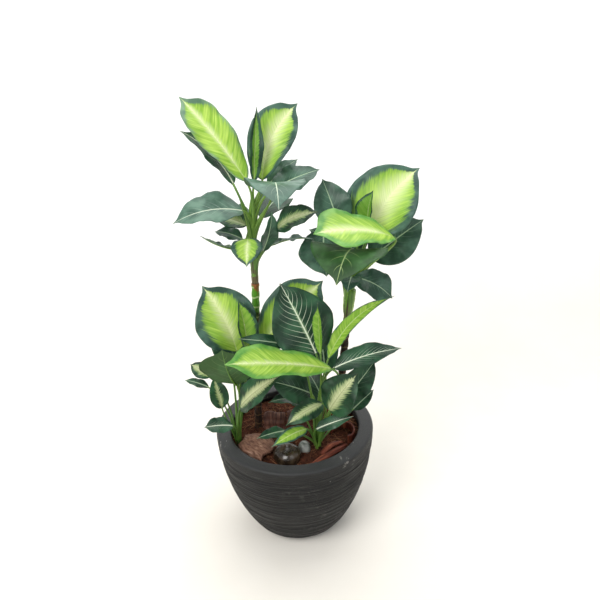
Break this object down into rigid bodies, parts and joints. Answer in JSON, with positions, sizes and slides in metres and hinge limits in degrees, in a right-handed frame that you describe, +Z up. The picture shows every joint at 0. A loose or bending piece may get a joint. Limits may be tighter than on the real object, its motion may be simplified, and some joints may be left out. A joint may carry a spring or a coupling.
{
  "type": "potted dieffenbachia",
  "caption": "Potted dieffenbachia: tall canes and low clumps of variegated leaves in a round charcoal planter filled with coir, bark and stones.",
  "frame": {"origin": "middle of the planter's flat foot, where it stands on the floor", "axes": "+Z up, +X to the right of the plant as pictured, -Y to its front"},
  "size_m": [0.695, 0.5176, 1.2579],
  "materials": {
    "pot_plastic": "charcoal, matte, with fine combed grooves round it",
    "coir": "matted brown coconut fibre",
    "pale_bark": "pale fibrous bark",
    "dark_bark": "dark bark with grooves along it",
    "red_bark": "red-brown bark shavings",
    "dark_stone": "smooth and half glossy",
    "grey_stone": "smooth and half glossy",
    "cane_bark": "brown cane with leaf scars",
    "stem_green": "satin green stalks and sheaths",
    "leaf_bright": "satin; cream and lime with a dark green edge",
    "leaf_feather": "satin; dark green with a feathered cream stripe",
    "leaf_dark": "satin dark green with pale veins"
  },
  "bodies": {
    "root": {"planter": "pot_plastic", "coir_filling": "coir", "stone_dark": "dark_stone", "stone_grey": "grey_stone", "bark_slab_pale": "pale_bark", "bark_standing_left": "dark_bark", "bark_standing_right": "dark_bark", "bark_curl": "red_bark", "bark_shaving_long": "red_bark", "bark_shaving_short": "red_bark", "cane_tall_left": "cane_bark", "cane_tall_right": "cane_bark", "leaf_tall_left_01": "leaf_bright", "leaf_tall_left_02": "leaf_dark", "leaf_tall_left_03": "leaf_bright", "leaf_tall_left_04": "leaf_bright", "leaf_tall_left_05": "leaf_dark", "leaf_tall_left_06": "leaf_dark", "leaf_tall_left_08": "leaf_dark", "leaf_tall_left_14": "leaf_feather", "leaf_tall_left_16": "leaf_dark", "leaf_tall_left_17": "leaf_dark", "stems_tall_left": "stem_green", "leaf_tall_right_01": "leaf_bright", "leaf_tall_right_02": "leaf_bright", "leaf_tall_right_03": "leaf_bright", "leaf_tall_right_04": "leaf_dark", "leaf_tall_right_05": "leaf_dark", "leaf_tall_right_06": "leaf_dark", "leaf_tall_right_07": "leaf_dark", "leaf_tall_right_09": "leaf_dark", "leaf_tall_right_11": "leaf_bright", "leaf_tall_right_12": "leaf_dark", "stems_tall_right": "stem_green", "leaf_low_left_01": "leaf_bright", "leaf_low_left_02": "leaf_bright", "leaf_low_left_03": "leaf_bright", "leaf_low_left_04": "leaf_dark", "leaf_low_left_08": "leaf_dark", "leaf_low_left_09": "leaf_feather", "leaf_low_left_11": "leaf_dark", "leaf_low_left_12": "leaf_feather", "stems_low_left": "stem_green", "leaf_low_right_01": "leaf_dark", "leaf_low_right_02": "leaf_bright", "leaf_low_right_03": "leaf_bright", "leaf_low_right_04": "leaf_bright", "leaf_low_right_05": "leaf_dark", "leaf_low_right_06": "leaf_feather", "leaf_low_right_07": "leaf_dark", "leaf_low_right_10": "leaf_feather", "leaf_low_right_11": "leaf_dark", "leaf_low_right_13": "leaf_bright", "leaf_low_right_15": "leaf_dark", "leaf_low_right_16": "leaf_dark", "leaf_low_right_17": "leaf_dark", "stems_low_right": "stem_green"}
  },
  "joints": []
}
